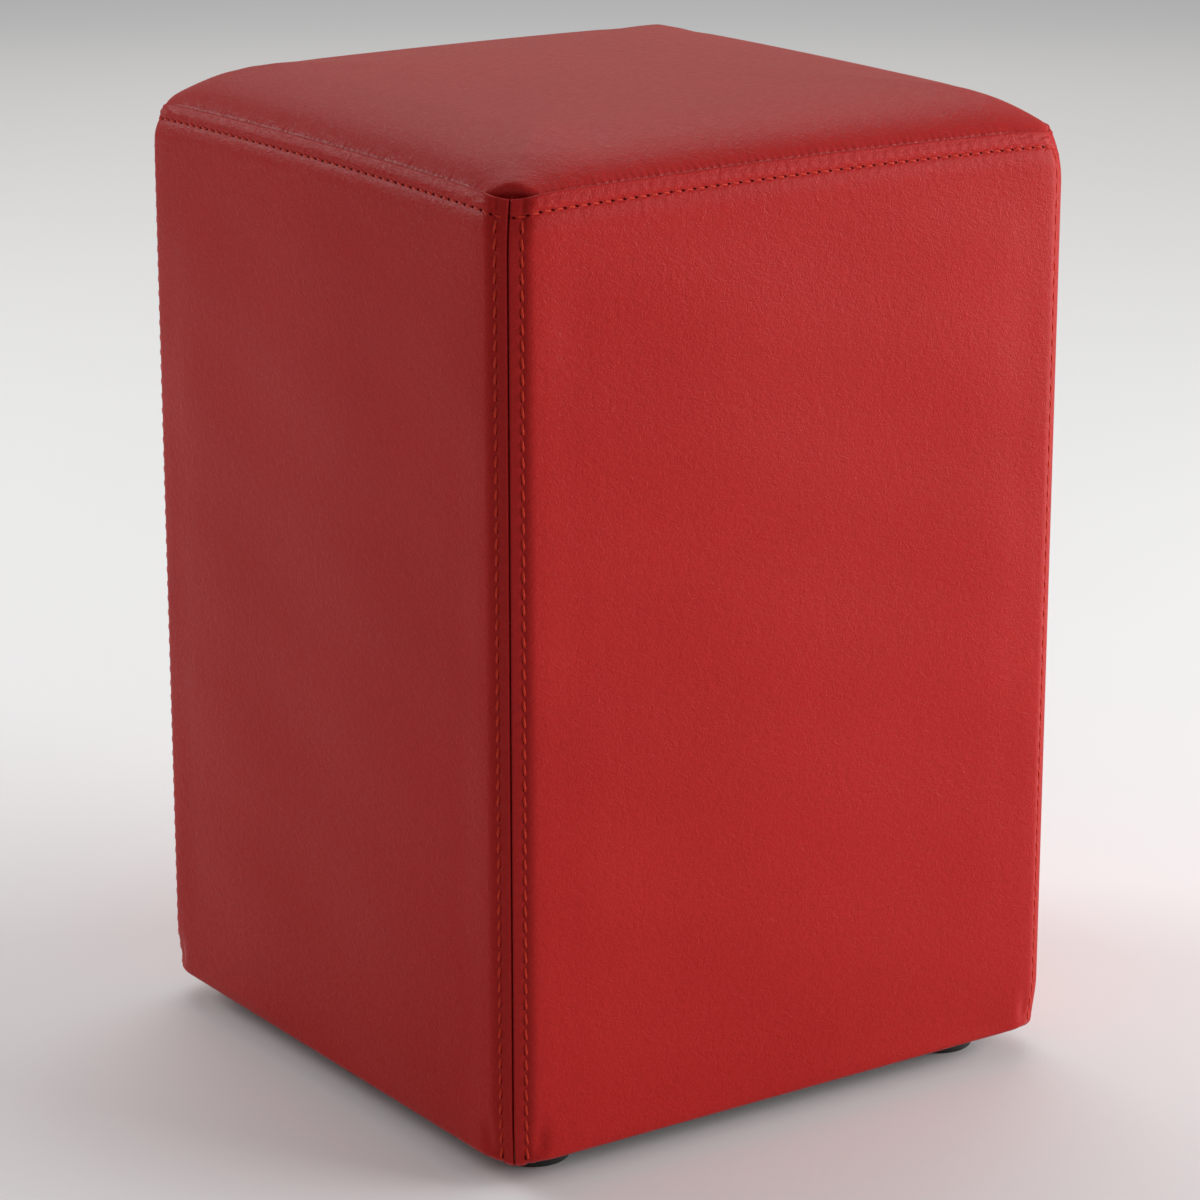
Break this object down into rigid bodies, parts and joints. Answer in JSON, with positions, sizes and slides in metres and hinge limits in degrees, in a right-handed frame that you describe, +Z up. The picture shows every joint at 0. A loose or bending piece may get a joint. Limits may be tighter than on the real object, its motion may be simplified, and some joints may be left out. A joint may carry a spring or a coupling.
{
  "type": "upholstered box stool",
  "caption": "Square box stool: screwed wooden carcass, foam and fleece padding, sewn red faux leather cover and plastic glides.",
  "frame": {"origin": "on the floor under the middle of the seat", "axes": "+Z up, front face towards -Y, +X to the right seen from the front"},
  "size_m": [0.33, 0.33, 0.49],
  "materials": {
    "faux_leather": "satin pebble grain, red, topstitched in matching thread",
    "seam_thread": "bonded polyester sewing thread, orange-red",
    "plywood": "unfinished poplar plywood",
    "pine": "planed softwood",
    "foam": "open-cell polyurethane foam",
    "fleece": "polyester wadding",
    "dust_cloth": "black spunbond nonwoven",
    "staple_wire": "galvanised wire",
    "zinc_screw": "zinc plated",
    "glide_plastic": "black moulded polypropylene, fine texture"
  },
  "bodies": {
    "root": {"seat_board": "plywood", "front_board": "plywood", "right_board": "plywood", "back_board": "plywood", "left_board": "plywood", "front_right_post": "pine", "back_right_post": "pine", "back_left_post": "pine", "front_left_post": "pine", "front_base_rail": "pine", "right_base_rail": "pine", "back_base_rail": "pine", "left_base_rail": "pine", "board_screws": "zinc_screw", "seat_board_screws": "zinc_screw", "base_rail_screws": "zinc_screw", "front_side_foam": "foam", "right_side_foam": "foam", "back_side_foam": "foam", "left_side_foam": "foam", "seat_foam": "foam", "seat_fleece": "fleece", "seat_cover_panel": "faux_leather", "front_cover_panel": "faux_leather", "right_cover_panel": "faux_leather", "back_cover_panel": "faux_leather", "left_cover_panel": "faux_leather", "cover_staples": "staple_wire", "dust_cloth": "dust_cloth", "dust_cloth_staples": "staple_wire", "front_right_glide": "glide_plastic", "back_right_glide": "glide_plastic", "back_left_glide": "glide_plastic", "front_left_glide": "glide_plastic", "glide_screws": "zinc_screw"}
  },
  "joints": []
}
